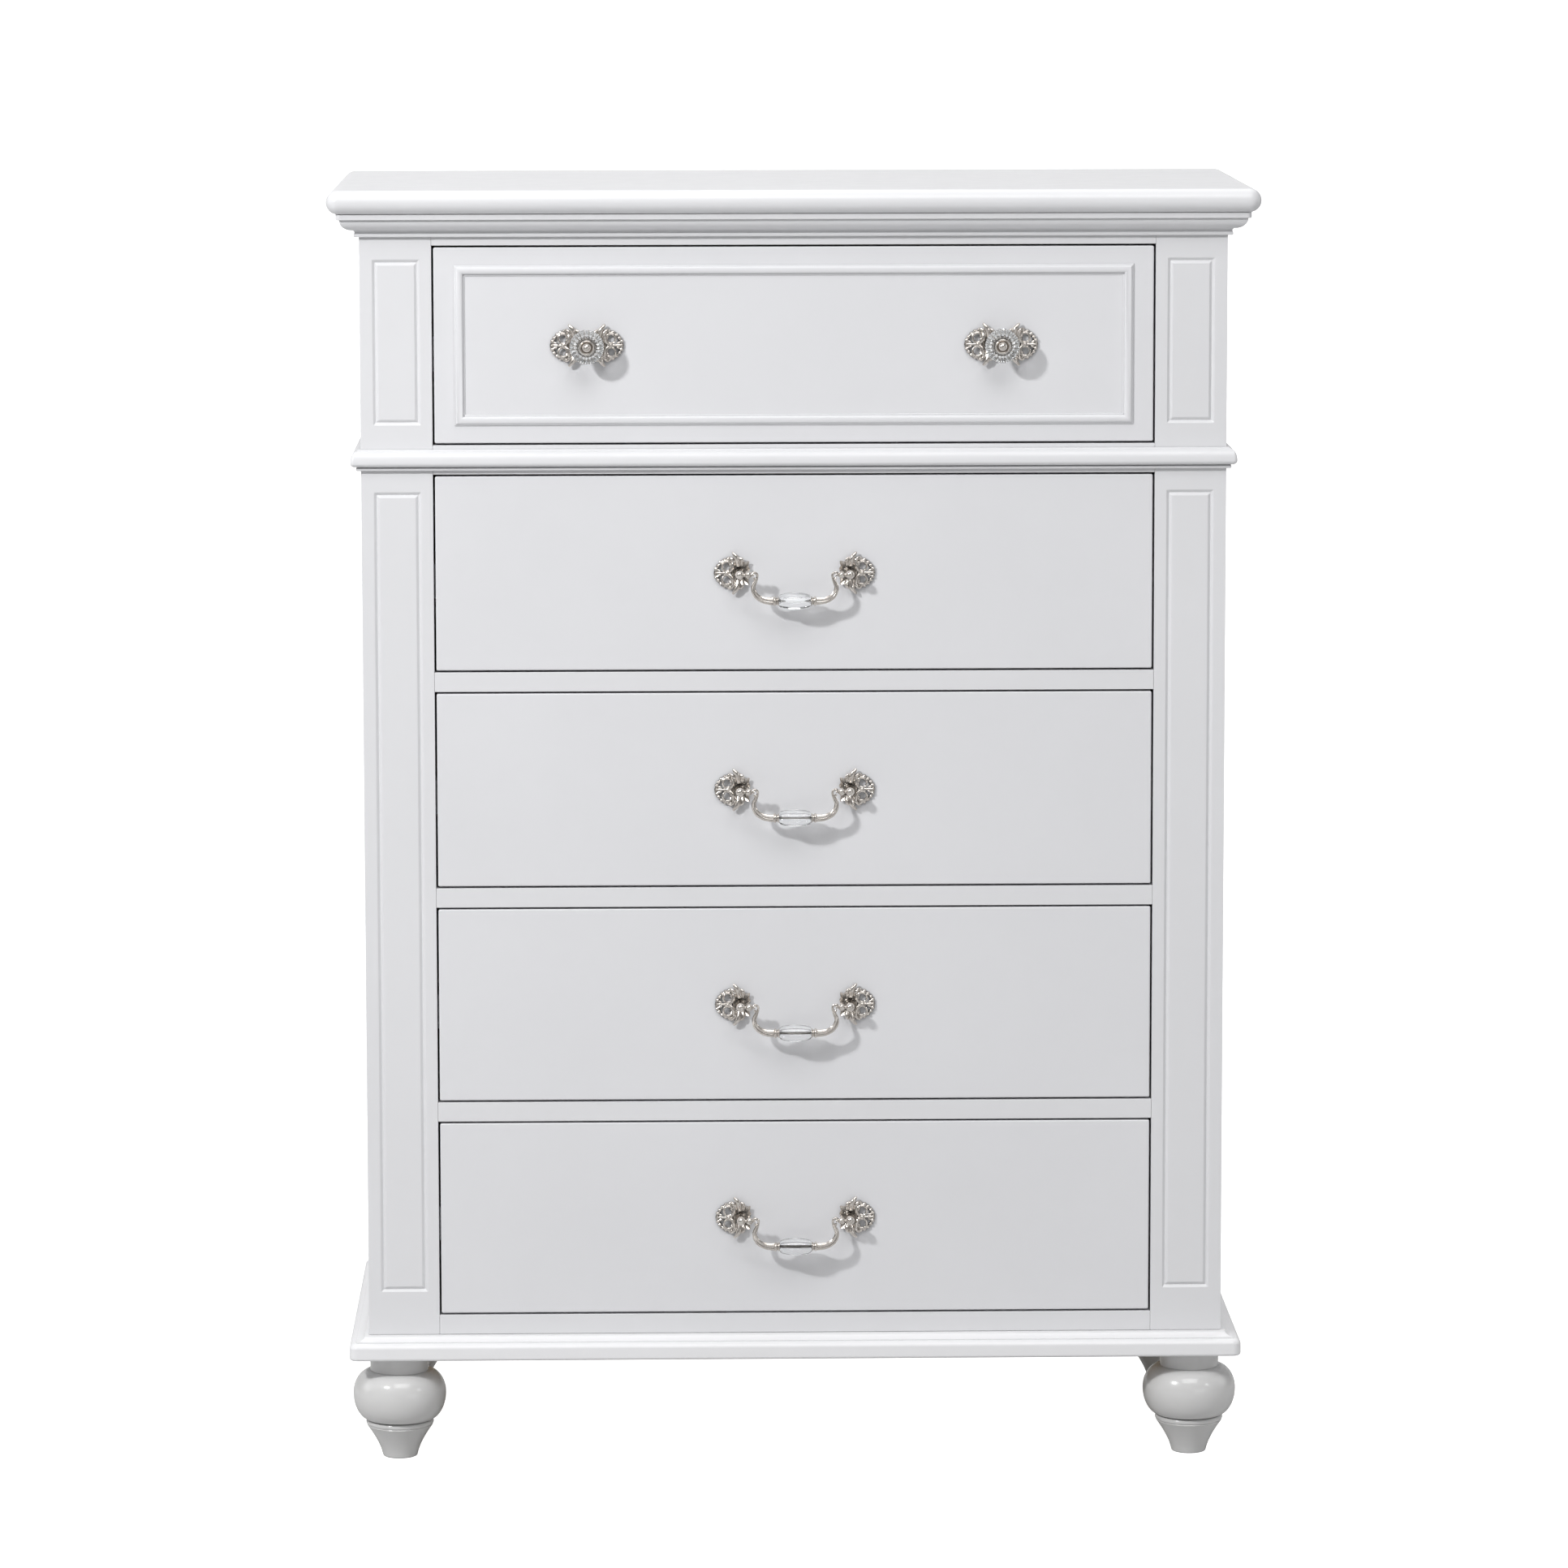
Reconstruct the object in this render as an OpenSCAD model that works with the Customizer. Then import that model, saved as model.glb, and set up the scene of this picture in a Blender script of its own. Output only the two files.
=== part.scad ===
// Tall chest of five drawers: a framed case on turned feet, with bail pulls and glass knobs.
// +Z is up and -Y is the front. The origin is the middle of the whole chest's footprint, on the floor.

/* [Case] */
// Width of the case over the front stiles
case_w = 880; // [840:10:920]
// Depth of the case, from the drawer fronts to the back
case_d = 400; // [390:5:420]
// Width of each front stile
stile_w = 73; // [70:1:78]
// Thickness of the stiles and rails
frame_t = 22; // [20:1:24]
// Thickness of the side panels
panel_t = 18; // [16:1:20]
// Thickness of the back panel
back_t = 5; // [4:1:6]

/* [Drawers] */
// Height of each drawer front
front_h = 198.6; // [190:0.2:206]
// Thickness of each drawer front
front_t = 18; // [16:1:20]
// Gap round each drawer front
gap = 2; // [1.5:0.5:3]
// Height of the rails between the lower drawers
divider_h = 20; // [18:1:24]
// Height of the rail behind the waist moulding
waist_rail_h = 29.8; // [28:0.2:34]
// Height of the bottom rail
bottom_rail_h = 20.4; // [18:0.2:24]
// Height of the top rail that shows under the crown
top_rail_h = 8.8; // [8:0.2:12]
// Length of a drawer box, from the back of its front
box_d = 360; // [350:5:360]
// Height of a drawer box
box_h = 150; // [140:5:160]
// Thickness of a drawer box's boards
board_t = 12; // [10:1:13]
// Thickness of a drawer's bottom
bottom_t = 5; // [4:1:6]

/* [Mouldings] */
// Thickness of the top, whose edge is a full half round
top_t = 24; // [20:1:28]
// How far the top stands out at the front and sides
top_reach = 32; // [30:1:34]
// Height of the crown moulding under the top
crown_h = 24; // [22:1:26]
// Height of the waist moulding
waist_h = 21.6; // [20:0.2:24]
// Height of the base moulding
base_h = 24; // [22:1:26]
// Width of the raised moulding on the top drawer
bead_w = 11; // [9:1:13]
// Height of that moulding off the drawer front
bead_h = 4; // [3:0.5:5]

/* [Feet] */
// Height of a foot
foot_h = 110; // [104:2:120]
// Radius of a foot's round bulb
bulb_r = 48; // [44:1:49]
// Radius of a foot on the floor
toe_r = 18; // [16:1:20]
// Distance from the base moulding's faces in to a foot's centre line
foot_inset = 50; // [50:1:54]

/* [Hardware] */
// Distance between a pull's two posts
post_span = 112.4; // [108:0.4:116]
// Distance from the drawer front out to a pull's pivots
pivot_out = 22; // [20:1:24]
// Drop from a pull's pivots to its grip
bail_drop = 26.8; // [25:0.2:29]
// Distance of each glass knob from the middle of the chest
knob_x = 210; // [180:5:240]
// How far a knob stands out from the drawer front
knob_reach = 40; // [38:1:44]
// Radius of a glass knob
knob_r = 17.5; // [15:0.5:19]

/* [Hidden] */
$fn = 96;

paint = [0.93, 0.93, 0.94];
bare_wood = [0.80, 0.66, 0.48];
plywood = [0.86, 0.76, 0.60];
zinc_steel = [0.70, 0.71, 0.73];
nickel = [0.66, 0.64, 0.60];
clear_glass = [0.85, 0.92, 0.95, 0.5];

// Heights, from the floor up.
glue = 0.1;               // glue line that keeps neighbouring boards of one node apart
case_z = foot_h + base_h;
pitch = front_h + divider_h + 2 * gap;
lowest_front_z = case_z + bottom_rail_h + gap;
waist_rail_z = lowest_front_z + 3 * pitch + front_h + gap;
top_rail_z = waist_rail_z + waist_rail_h + 2 * gap + front_h;
crown_z = top_rail_z + top_rail_h;
top_z = crown_z + crown_h;

// Plan: half widths, and the front and back planes of the case.
half_w = case_w / 2;
face_y = (knob_reach - case_d) / 2;
back_y = face_y + case_d;
opening_w = case_w - 2 * stile_w;
front_w = opening_w - 2 * gap;
inner_x = half_w - panel_t;
back_panel_y = back_y - back_t - 3;

// Moulding sizes that the customizer leaves alone.
base_reach = 20;          // the base moulding stands out this far
base_inner = 14;          // and reaches this far in under the case
block_w = 80;             // corner blocks inside the base
crown_reach = 22.4;
waist_reach = 10.6;
groove_w = 5.6;           // V groove on the stiles
groove_d = 2.2;
groove_inset = 13;        // from the stile's outer edge
groove_out_w = 48;        // width over the groove
bead_inset_x = 20.5;
bead_inset_z = 18;

// Drawer box and slides.
slide_space = 13;         // between the opening and the side of a drawer box
slide_len = 350;
slide_h = 35;
steel_t = 1.2;
box_w = opening_w - 2 * slide_space;
box_in_x = box_w / 2 - board_t;
box_y = face_y + front_t;
box_lift = 14;            // box above the bottom edge of its front
bottom_lift = 8;          // drawer bottom above the bottom edge of its box
groove_in = 6;            // depth of the grooves that hold the drawer bottom

// Hardware.
stud_r = 2;
stud_hole_r = 2.3;
nut_h = 3;
pin_r = 1.5;
pin_clearance = 0.05;
plate_t = 2.6;
post_r = 3.6;
ball_r = 4.5;
eye_r = 3.7;
arm_x = 43;               // bail arms, from the middle of the pull
arm_r = 2.5;              // radius of an arm by its eye
elbow_tube_r = 3.3;       // and round its elbow
elbow_r = 14.8;
grip_half = 16.25;        // half the length of the crystal
crystal_r = 9;
plate_offset = 11.5;      // from a knob's axis to each half of its plate
glass_depth = 33.4;       // front of a knob's glass, from the drawer front
inner_skin_y = face_y + front_t + board_t;

function front_z(n) = (n == 1) ? top_rail_z - gap - front_h : lowest_front_z + (5 - n) * pitch;
function divider_z(n) = front_z(n) + front_h + gap;
function arc(cx, cy, rx, ry, a0, a1, steps) =
    [for (i = [0:steps]) let (a = a0 + (a1 - a0) * i / steps) [cx + rx * cos(a), cy + ry * sin(a)]];

// ---------- Mouldings ----------

// Each outline is drawn as [how far it stands out, height above its underside].
function crown_outline() = concat(
    [[0, 0], [4.4, 0], [5, 0.6], [5, 3.4], [4.4, 4], [4.4, 5.6]],
    arc(19 - 13.4, crown_h - 6, 13.4, crown_h - 6 - 7, -90, 0, 16),
    [[crown_reach - 1, crown_h - 6], [crown_reach, crown_h - 5], [crown_reach, crown_h], [0, crown_h]]);

function waist_outline() = concat(
    [[0, 0], [3.6, 0]],
    arc(3.6, 1.7, 1.4, 1.7, -90, 90, 8),
    [[4.6, 4.2]],
    arc(6, 8.2, waist_reach - 6, 4, -90, 0, 8),
    arc(4, 8.2, waist_reach - 4, waist_h - 9.8, 4, 86, 12),
    [[3.4, waist_h - 1.2], [3, waist_h], [0, waist_h]]);

function base_outline() = concat(
    [[-base_inner, 0]],
    arc(base_reach - 3, 3, 3, 3, -90, 0, 6),
    arc(base_reach - 6, base_h - 12, 6, 5.6, 0, 84, 10),
    [[13, base_h - 6.2]],
    arc(13, base_h, 8.8, 5.4, -90, -180, 10),
    [[-base_inner, base_h]]);

// A front length and two side lengths, mitred at the front corners and square at the back.
module wrap_lengths(outline, z, h, reach, inner = 0) {
    far = reach + 1;
    translate([0, 0, z]) {
        intersection() {
            translate([-half_w - far, face_y, 0])
                rotate([90, 0, 90])
                    linear_extrude(case_w + 2 * far)
                        polygon([for (q = outline) [-q[0], q[1]]]);
            translate([0, 0, -1])
                linear_extrude(h + 2)
                    polygon([
                        [-half_w - far + glue, face_y - far], [half_w + far - glue, face_y - far],
                        [half_w - inner - 1 - glue, face_y + inner + 1],
                        [-half_w + inner + 1 + glue, face_y + inner + 1]
                    ]);
        }
        for (side = [0, 1])
            mirror([side, 0, 0])
                intersection() {
                    translate([half_w, back_y, 0])
                        rotate([90, 0, 0])
                            linear_extrude(case_d + far)
                                polygon(outline);
                    translate([0, 0, -1])
                        linear_extrude(h + 2)
                            polygon([
                                [half_w + far, face_y - far], [half_w - inner - 1, face_y + inner + 1],
                                [half_w - inner - 1, back_y + 1], [half_w + far, back_y + 1]
                            ]);
                }
    }
}

module top_panel() {
    r = top_t / 2;
    x = half_w + top_reach - r;
    y = face_y - top_reach + r;
    color(paint) {
        translate([-x, y, top_z])
            cube([2 * x, back_y - y, top_t]);
        translate([-x, y, top_z + r])
            rotate([0, 90, 0])
                cylinder(r = r, h = 2 * x);
        for (side = [-1, 1]) {
            translate([side * x, back_y, top_z + r])
                rotate([90, 0, 0])
                    cylinder(r = r, h = back_y - y);
            translate([side * x, y, top_z + r])
                sphere(r = r);
        }
    }
}

module crown_moulding() {
    color(paint)
        wrap_lengths(crown_outline(), crown_z, crown_h, crown_reach);
}

module waist_moulding() {
    color(paint)
        wrap_lengths(waist_outline(), waist_rail_z + (waist_rail_h - waist_h) / 2, waist_h, waist_reach);
}

module base_moulding() {
    back_x = half_w - base_inner - glue;
    color(paint) {
        wrap_lengths(base_outline(), foot_h, base_h, base_reach, base_inner);
        translate([-back_x, back_y - base_inner, foot_h])
            cube([2 * back_x, base_inner, base_h]);
    }
}

module corner_blocks() {
    x = half_w - base_inner;
    front = face_y + base_inner;
    rear = back_y - base_inner;
    color(bare_wood)
        difference() {
            for (side = [0, 1])
                mirror([side, 0, 0])
                    for (y = [front, rear - block_w])
                        translate([x - block_w, y, foot_h])
                            cube([block_w, block_w, base_h]);
            foot_bolt_set(4, foot_h - 1, base_h + 2);
        }
}

// ---------- Case ----------

// A block whose half width and half height grow by "slope" for each millimetre from y0 to y1.
module taper_block(w, h, y0, y1, slope) {
    x = [w / 2 + slope * y0, w / 2 + slope * y1];
    z = [h / 2 + slope * y0, h / 2 + slope * y1];
    intersection() {
        translate([0, 0, -h])
            linear_extrude(2 * h)
                polygon([[-x[0], y0], [x[0], y0], [x[1], y1], [-x[1], y1]]);
        translate([-w, 0, 0])
            rotate([90, 0, 90])
                linear_extrude(2 * w)
                    polygon([[y0, -z[0]], [y0, z[0]], [y1, z[1]], [y1, -z[1]]]);
    }
}

// A rectangle of V groove: a block that narrows into the wood, less a core that widens.
module groove_rectangle(w, h) {
    slope = groove_w / 2 / groove_d;
    difference() {
        taper_block(w, h, -1, groove_d, -slope);
        taper_block(w - 2 * groove_w, h - 2 * groove_w, -2, groove_d + 1, slope);
    }
}

module stile(side) {
    edge = half_w - stile_w / 2;
    groove_x = side * (half_w - groove_inset - groove_out_w / 2);
    upper_z = [waist_rail_z + waist_rail_h + 20.5, crown_z - 23];
    lower_z = [case_z + 45, waist_rail_z - 18];
    color(paint)
        difference() {
            translate([side * edge - stile_w / 2, face_y, case_z])
                cube([stile_w, frame_t, top_z - case_z]);
            for (span = [upper_z, lower_z])
                translate([groove_x, face_y, (span[0] + span[1]) / 2])
                    groove_rectangle(groove_out_w, span[1] - span[0]);
        }
}

module left_stile() {
    stile(-1);
}

module right_stile() {
    stile(1);
}

module side_panel(side) {
    color(paint)
        translate([side * (half_w - panel_t / 2) - panel_t / 2, face_y + frame_t, case_z])
            cube([panel_t, case_d - frame_t, top_z - case_z]);
}

module left_side_panel() {
    side_panel(-1);
}

module right_side_panel() {
    side_panel(1);
}

module back_panel() {
    color(plywood)
        translate([-inner_x, back_panel_y, case_z])
            cube([2 * inner_x, back_t, top_z - case_z]);
}

module base_panel() {
    color(plywood)
        translate([-inner_x, face_y + frame_t, case_z])
            cube([2 * inner_x, back_panel_y - face_y - frame_t, 12]);
}

module rail(z, h) {
    color(paint)
        translate([-opening_w / 2, face_y, z])
            cube([opening_w, frame_t, h]);
}

module top_rail() {
    rail(top_rail_z, top_z - top_rail_z);
}

module waist_rail() {
    rail(waist_rail_z, waist_rail_h);
}

module upper_divider_rail() {
    rail(divider_z(3), divider_h);
}

module middle_divider_rail() {
    rail(divider_z(4), divider_h);
}

module lower_divider_rail() {
    rail(divider_z(5), divider_h);
}

module bottom_rail() {
    rail(case_z, bottom_rail_h);
}

// The spacers and slides sit at the middle height of each drawer box.
function slide_z(n) = front_z(n) + box_lift + box_h / 2;

module slide_spacers() {
    color(bare_wood)
        for (n = [1:5], side = [0, 1])
            mirror([side, 0, 0])
                translate([opening_w / 2, face_y + frame_t, slide_z(n) - 30])
                    cube([inner_x - opening_w / 2, back_panel_y - face_y - frame_t, 60]);
}

module case_slides() {
    depth = 10;
    color(zinc_steel)
        for (n = [1:5], side = [0, 1])
            mirror([side, 0, 0])
                translate([opening_w / 2 - depth, face_y + frame_t + 2, slide_z(n) - slide_h / 2])
                    difference() {
                        cube([depth, slide_len, slide_h]);
                        translate([-1, -1, steel_t])
                            cube([depth - steel_t + 1, slide_len + 2, slide_h - 2 * steel_t]);
                    }
}

// ---------- Feet ----------

function foot_xy() = [
    for (y = [face_y - base_reach + foot_inset, back_y - foot_inset], side = [-1, 1])
        [side * (half_w + base_reach - foot_inset), y]
];

function foot_outline() =
    let (collar_z = 33, collar_r = 35, bulb_z = 67, neck_r = 30.3)
    concat(
        [[0, 0], [toe_r - 1.2, 0], [toe_r, 1.2]],
        [for (i = [1:12]) [toe_r + (collar_r - 1 - toe_r) * pow(i / 12, 1.5), collar_z * i / 12]],
        arc(collar_r - 3, 36.4, 3, 3, -60, 80, 8),
        [[31.2, 39.6]],
        arc(neck_r, bulb_z, bulb_r - neck_r, bulb_z - 39, -72, 0, 12),
        arc(neck_r, bulb_z, bulb_r - neck_r, 24, 6, 82, 12),
        [[neck_r, bulb_z + 24], [neck_r, foot_h], [0, foot_h]]);

module foot_bolt_set(r, z, h) {
    for (p = foot_xy())
        translate([p[0], p[1], z])
            cylinder(r = r, h = h);
}

module foot(i) {
    color(paint)
        difference() {
            translate([foot_xy()[i][0], foot_xy()[i][1], 0])
                rotate_extrude()
                    polygon(foot_outline());
            foot_bolt_set(4, foot_h - 36, 40);
        }
}

module front_left_foot() {
    foot(0);
}

module front_right_foot() {
    foot(1);
}

module rear_left_foot() {
    foot(2);
}

module rear_right_foot() {
    foot(3);
}

module foot_bolts() {
    color(zinc_steel)
        foot_bolt_set(3.95, foot_h - 35, 35 + base_h - 1);
}

// ---------- Drawers ----------

module fastener_holes(xs, z, r) {
    for (x = xs)
        translate([x, face_y - 1, z])
            rotate([-90, 0, 0])
                cylinder(r = r, h = front_t + board_t + 2);
}

function post_x() = [-post_span / 2, post_span / 2];
function fastener_x(n) = (n == 1) ? [-knob_x, knob_x] : post_x();

module drawer_front(n) {
    color(paint)
        difference() {
            translate([-front_w / 2, face_y, front_z(n)])
                cube([front_w, front_t, front_h]);
            fastener_holes(fastener_x(n), front_z(n) + front_h / 2, stud_hole_r);
        }
}

// Two sides, a back and an inner front, grooved all round for the bottom.
module drawer_box(n) {
    z = front_z(n) + box_lift;
    across = 2 * (box_in_x - glue);
    color(bare_wood)
        difference() {
            union() {
                for (side = [0, 1])
                    mirror([side, 0, 0])
                        translate([box_in_x, box_y, z])
                            cube([board_t, box_d, box_h]);
                for (y = [box_y, box_y + box_d - board_t])
                    translate([-across / 2, y, z])
                        cube([across, board_t, box_h]);
            }
            drawer_bottom_board(n);
            fastener_holes(fastener_x(n), front_z(n) + front_h / 2, stud_hole_r);
        }
}

module drawer_bottom_board(n) {
    x = box_in_x + groove_in;
    y = box_y + board_t - groove_in;
    translate([-x, y, front_z(n) + box_lift + bottom_lift])
        cube([2 * x, box_d - 2 * (board_t - groove_in), bottom_t]);
}

module drawer_bottom(n) {
    color(plywood)
        drawer_bottom_board(n);
}

// The slide members that are screwed to the drawer box and run inside the case slides.
module drawer_slides(n) {
    depth = 8.5;
    height = 22;
    color(zinc_steel)
        for (side = [0, 1])
            mirror([side, 0, 0])
                translate([box_w / 2, face_y + frame_t + 4, slide_z(n) - height / 2])
                    difference() {
                        cube([depth, slide_len - 4, height]);
                        translate([steel_t, -1, steel_t])
                            cube([depth, slide_len, height - 2 * steel_t]);
                    }
}

// The raised moulding on the top drawer: four mitred lengths with a rounded, stepped section.
module bead_length(length, off) {
    intersection() {
        translate([-length / 2, 0, -off])
            rotate([90, 0, 90])
                linear_extrude(length)
                    polygon(concat(
                        [[0, 0], [-1.4, 0], [-1.8, 1.2]],
                        [for (q = arc(bead_w / 2 - 0.4, 0, 3.6, bead_h - 1.6, 180, 0, 12)) [-1.6 - q[1], q[0]]],
                        [[-1.2, bead_w - 1.6], [-0.8, bead_w], [0, bead_w]]));
        translate([0, 1, -off])
            rotate([90, 0, 0])
                linear_extrude(bead_h + 2)
                    polygon([
                        [-length / 2 + glue, 0], [length / 2 - glue, 0],
                        [length / 2 - bead_w - glue, bead_w], [-length / 2 + bead_w + glue, bead_w]
                    ]);
    }
}

module drawer_1_moulding() {
    w = front_w - 2 * bead_inset_x;
    h = front_h - 2 * bead_inset_z;
    color(paint)
        translate([0, face_y, front_z(1) + front_h / 2])
            for (turn = [0, 180])
                rotate([0, turn, 0]) {
                    bead_length(w, h / 2);
                    rotate([0, 90, 0])
                        bead_length(h, w / 2);
                }
}

// ---------- Hardware ----------

// Openwork plate for one post: scrolls and a palmette outward (+x), two leaf tips inward.
module rosette_outline() {
    difference() {
        union() {
            circle(r = 8.5);
            for (side = [0, 1])
                mirror([0, side]) {
                    translate([11.5, 7])
                        circle(r = 7.6);
                    polygon([[-2, 7], [-0.4, 14], [6.8, 20.4], [7.4, 14], [10, 9]]);
                    polygon([[0, 0], [-3, 8.3], [-12.5, 6.6], [-9.6, 0]]);
                }
            polygon([[16, 8.6], [21.4, 5.4], [26, 0], [21.4, -5.4], [16, -8.6]]);
        }
        for (side = [0, 1])
            mirror([0, side])
                translate([12.4, 5.8])
                    circle(r = 3.4);
    }
}

module plate_body(offset_x = 0) {
    rotate([90, 0, 0])
        linear_extrude(plate_t)
            translate([offset_x, 0])
                rosette_outline();
}

module hex_nut() {
    difference() {
        cylinder(r = 4, h = nut_h, $fn = 6);
        translate([0, 0, -1])
            cylinder(r = stud_r + 0.05, h = nut_h + 2);
    }
}

module back_nuts(xs, z) {
    for (x = xs)
        translate([x, inner_skin_y, z])
            rotate([-90, 0, 0])
                hex_nut();
}

module stud(from_y) {
    translate([0, from_y, 0])
        rotate([-90, 0, 0])
            cylinder(r = stud_r, h = front_t + board_t + nut_h + 1 - from_y);
}

// Plates, posts with their studs, and nuts; each post has a blind hole for the bail's pin.
module pull_rosettes(n) {
    z = front_z(n) + front_h / 2;
    color(nickel) {
        for (side = [0, 1])
            mirror([side, 0, 0])
                translate([post_span / 2, face_y, z])
                    difference() {
                        union() {
                            plate_body();
                            rotate([90, 0, 0])
                                cylinder(r = 6, h = 5);
                            rotate([90, 0, 0])
                                cylinder(r = post_r, h = pivot_out);
                            translate([0, -pivot_out, 0])
                                sphere(r = ball_r);
                            stud(-1);
                        }
                        translate([-ball_r - 1, -pivot_out, 0])
                            rotate([0, 90, 0])
                                cylinder(r = pin_r + pin_clearance, h = ball_r + 2);
                    }
        back_nuts(post_x(), z);
    }
}

// Bail: pins, eyes, arms, elbows and collars, on a rod that runs through the crystal.
module pull_bail(n) {
    elbow_x = arm_x - elbow_r;
    color(nickel)
        translate([0, face_y - pivot_out, front_z(n) + front_h / 2]) {
            for (side = [0, 1])
                mirror([side, 0, 0]) {
                    translate([arm_x, 0, 0])
                        rotate([0, 90, 0])
                            cylinder(r = pin_r, h = post_span / 2 + 0.4 - arm_x);
                    translate([post_span / 2 - ball_r - 0.6 - eye_r, 0, 0])
                        sphere(r = eye_r);
                    translate([arm_x, 0, 0])
                        sphere(r = arm_r);
                    translate([arm_x, 0, elbow_r - bail_drop])
                        cylinder(r = arm_r, h = bail_drop - elbow_r);
                    translate([arm_x, 0, elbow_r - bail_drop])
                        sphere(r = elbow_tube_r);
                    translate([elbow_x, 0, elbow_r - bail_drop])
                        rotate([90, 90, 0])
                            rotate_extrude(angle = 90)
                                translate([elbow_r, 0])
                                    circle(r = elbow_tube_r);
                    translate([grip_half + 1, 0, -bail_drop])
                        rotate([0, 90, 0])
                            cylinder(r = elbow_tube_r, h = elbow_x - grip_half - 1);
                    translate([grip_half + 0.4, 0, -bail_drop])
                        rotate([0, 90, 0])
                            cylinder(r = 4.4, h = 2.4);
                    translate([grip_half + 4, 0, -bail_drop])
                        rotate([0, 90, 0])
                            cylinder(r = 3.9, h = 2);
                }
            translate([-grip_half - 1, 0, -bail_drop])
                rotate([0, 90, 0])
                    cylinder(r = 1.6, h = 2 * grip_half + 2);
        }
}

// Barrel of clear glass, bored for the bail's rod.
module pull_crystal(n) {
    end_r = 5.2;
    color(clear_glass)
        translate([0, face_y - pivot_out, front_z(n) + front_h / 2 - bail_drop])
            rotate([0, 90, 0])
                difference() {
                    rotate_extrude()
                        polygon(concat(
                            [[0, -grip_half]],
                            [for (i = [0:16]) let (t = i / 8 - 1)
                                [end_r + (crystal_r - end_r) * sqrt(1 - t * t), grip_half * t]],
                            [[0, grip_half]]));
                    translate([0, 0, -grip_half - 1])
                        cylinder(r = 1.9, h = 2 * grip_half + 2);
                }
}

module drawer_1_knob_plates() {
    z = front_z(1) + front_h / 2;
    color(nickel)
        for (x = fastener_x(1))
            translate([x, face_y, z])
                difference() {
                    union() {
                        for (side = [0, 1])
                            mirror([side, 0, 0])
                                plate_body(plate_offset);
                        rotate([90, 0, 0])
                            cylinder(r = 11, h = plate_t);
                        rotate([90, 0, 0])
                            cylinder(r = 8.5, h = 6);
                    }
                    translate([0, 1, 0])
                        rotate([90, 0, 0])
                            cylinder(r = stud_hole_r, h = 10);
                }
}

// Glass knob: a waisted stem that opens into a faceted disc.
module drawer_1_knob_glass() {
    z = front_z(1) + front_h / 2;
    color(clear_glass)
        for (x = fastener_x(1))
            translate([x, face_y, z])
                rotate([90, 0, 0])
                    rotate_extrude()
                        polygon([
                            [stud_hole_r, 6], [7.6, 6], [6.8, 12], [8, 17], [knob_r - 1.5, 25], [knob_r, 26.5],
                            [knob_r, 28], [knob_r - 1, 29], [8.4, glass_depth], [stud_hole_r, glass_depth]
                        ]);
}

// Metal buttons that hold the glass: a dished ring, a flat-backed ball, a stud through the drawer front, a nut.
module drawer_1_knob_buttons() {
    z = front_z(1) + front_h / 2;
    button_r = 4.8;
    color(nickel) {
        for (x = fastener_x(1))
            translate([x, face_y, z]) {
                rotate([90, 0, 0])
                    rotate_extrude()
                        polygon([
                            [0, glass_depth], [7.6, glass_depth], [7.6, 35], [6.9, 35.8], [6, 35.8], [4.6, 34.8], [0, 34.8]
                        ]);
                difference() {
                    translate([0, button_r - knob_reach, 0])
                        sphere(r = button_r);
                    translate([0, -glass_depth, 0])
                        rotate([-90, 0, 0])
                            cylinder(r = button_r, h = button_r);
                }
                stud(-34);
            }
        back_nuts(fastener_x(1), z);
    }
}

top_panel();
crown_moulding();
waist_moulding();
base_moulding();
corner_blocks();
left_stile();
right_stile();
left_side_panel();
right_side_panel();
back_panel();
base_panel();
top_rail();
waist_rail();
upper_divider_rail();
middle_divider_rail();
lower_divider_rail();
bottom_rail();
front_left_foot();
front_right_foot();
rear_left_foot();
rear_right_foot();
foot_bolts();
slide_spacers();
case_slides();
for (n = [1:5]) {
    drawer_front(n);
    drawer_box(n);
    drawer_bottom(n);
    drawer_slides(n);
}
drawer_1_moulding();
drawer_1_knob_plates();
drawer_1_knob_glass();
drawer_1_knob_buttons();
for (n = [2:5]) {
    pull_rosettes(n);
    pull_bail(n);
    pull_crystal(n);
}
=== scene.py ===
"""Looks of a tall white chest of drawers: painted case and drawers, cast nickel hardware, clear glass.

Lengths inside the shape builders are in millimetres and are turned into metres as meshes are made.
"""
import math

import bmesh
import bpy
from mathutils import Matrix, Vector


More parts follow.
